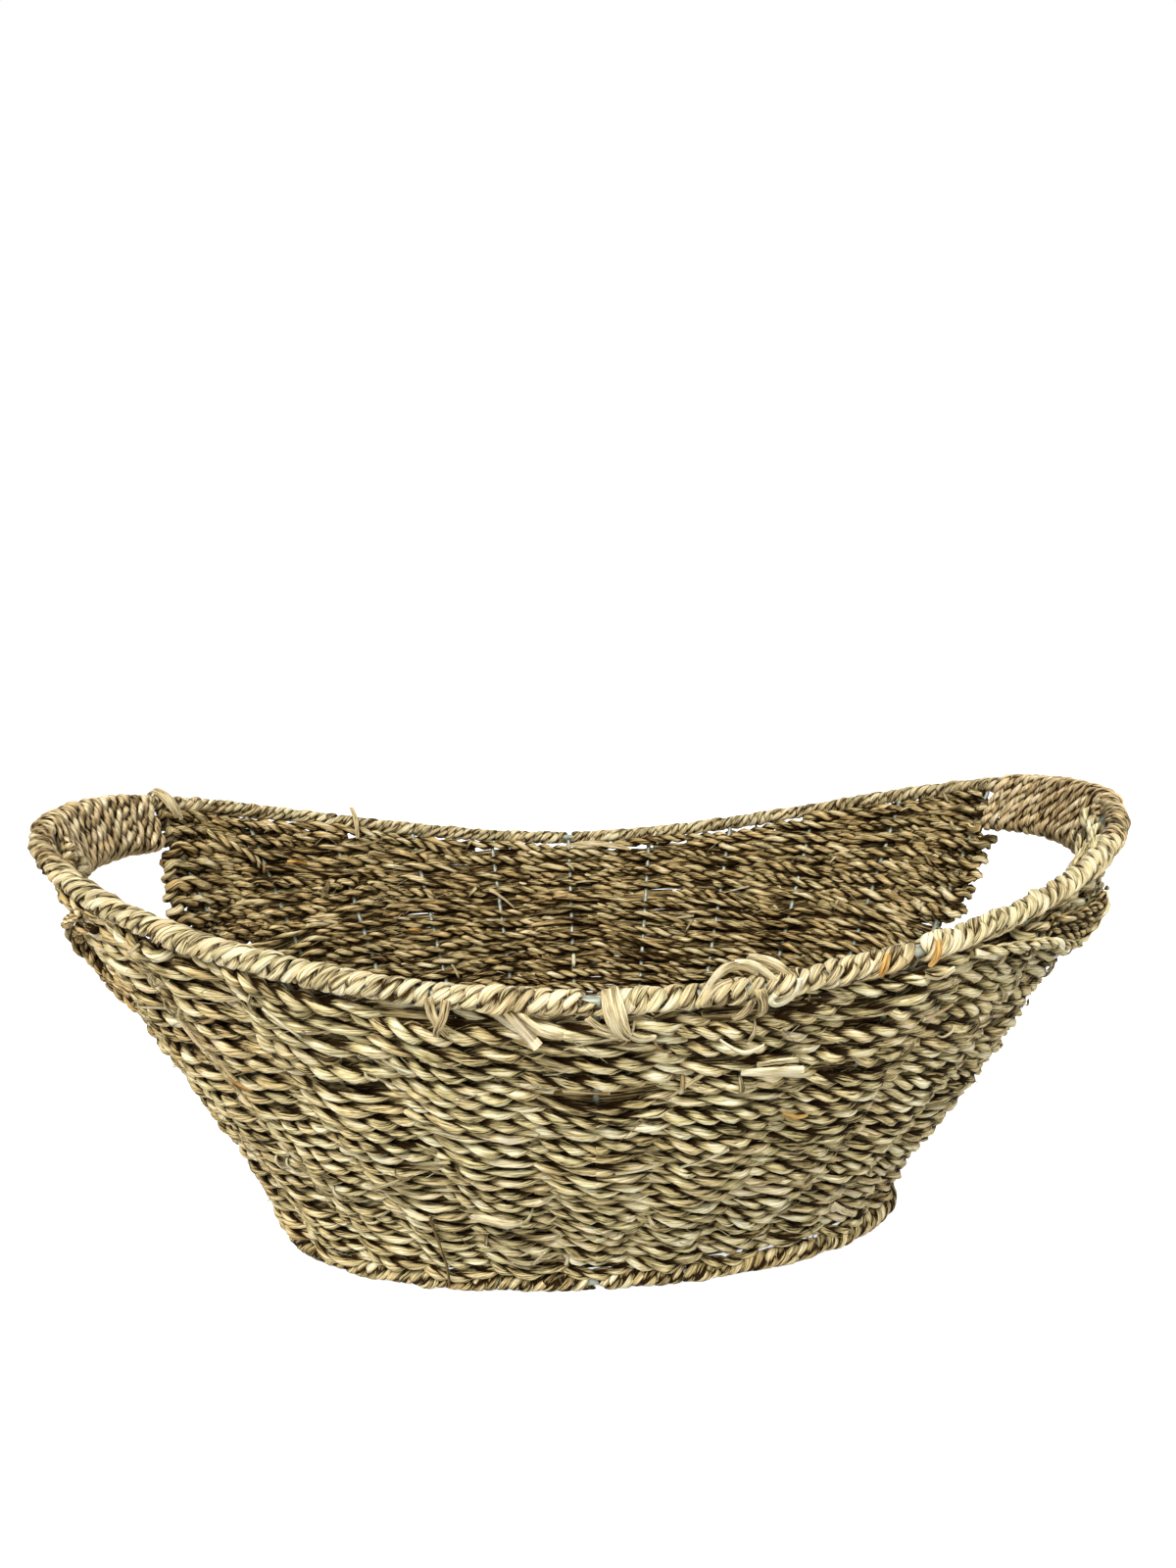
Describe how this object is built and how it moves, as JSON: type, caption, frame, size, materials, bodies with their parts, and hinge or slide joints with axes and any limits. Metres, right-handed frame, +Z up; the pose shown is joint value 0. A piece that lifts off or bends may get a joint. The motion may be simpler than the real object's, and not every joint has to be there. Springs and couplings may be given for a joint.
{
  "type": "magazine basket",
  "caption": "Oval magazine basket of woven seagrass rope on a welded wire frame, flared walls, saddle-shaped rim, a roped grip over a hand opening at each end.",
  "frame": {"origin": "on the floor, under the middle of the basket", "axes": "+X along the long side towards the right grip, -Y the front, +Z up"},
  "size_m": [0.4732, 0.3044, 0.2067],
  "materials": {
    "frame_wire": "grey-green painted steel wire, satin",
    "wrap_cord": "pale twisted seagrass cord, dry and slightly shiny",
    "grip_cord": "fine twisted seagrass cord, wound tight",
    "wall_rope": "two-ply twisted seagrass rope, khaki with green and tan strands",
    "floor_rope": "two-ply twisted seagrass rope, tan"
  },
  "bodies": {
    "root": {"rim_wire": "frame_wire", "base_wire": "frame_wire", "grip_bow_right": "frame_wire", "grip_bow_left": "frame_wire", "cross_stake_01": "frame_wire", "cross_stake_02": "frame_wire", "cross_stake_03": "frame_wire", "cross_stake_04": "frame_wire", "cross_stake_05": "frame_wire", "cross_stake_06": "frame_wire", "cross_stake_07": "frame_wire", "cross_stake_08": "frame_wire", "cross_stake_09": "frame_wire", "cross_stake_10": "frame_wire", "cross_stake_11": "frame_wire", "end_stake_right": "frame_wire", "end_stake_left": "frame_wire", "rim_wrap_front_right": "wrap_cord", "rim_wrap_back_right": "wrap_cord", "rim_wrap_back_left": "wrap_cord", "rim_wrap_front_left": "wrap_cord", "base_wrap_right": "wrap_cord", "base_wrap_left": "wrap_cord", "grip_winding_right": "grip_cord", "grip_winding_left": "grip_cord", "wall_course_01": "wall_rope", "wall_course_02": "wall_rope", "wall_course_03": "wall_rope", "wall_course_04": "wall_rope", "wall_course_05": "wall_rope", "wall_course_06": "wall_rope", "wall_course_07": "wall_rope", "wall_course_08": "wall_rope", "wall_course_09": "wall_rope", "wall_course_10": "wall_rope", "wall_course_11": "wall_rope", "wall_course_12": "wall_rope", "wall_course_13": "wall_rope", "wall_course_14": "wall_rope", "wall_course_15": "wall_rope", "wall_course_16": "wall_rope", "wall_course_17": "wall_rope", "upper_weave_front": "wall_rope", "upper_weave_back": "wall_rope", "floor_strand_01": "floor_rope", "floor_strand_02": "floor_rope", "floor_strand_03": "floor_rope", "floor_strand_04": "floor_rope", "floor_strand_05": "floor_rope", "floor_strand_06": "floor_rope", "floor_strand_07": "floor_rope", "floor_strand_08": "floor_rope", "floor_strand_09": "floor_rope", "floor_strand_10": "floor_rope", "floor_strand_11": "floor_rope", "floor_strand_12": "floor_rope", "floor_strand_13": "floor_rope"}
  },
  "joints": []
}
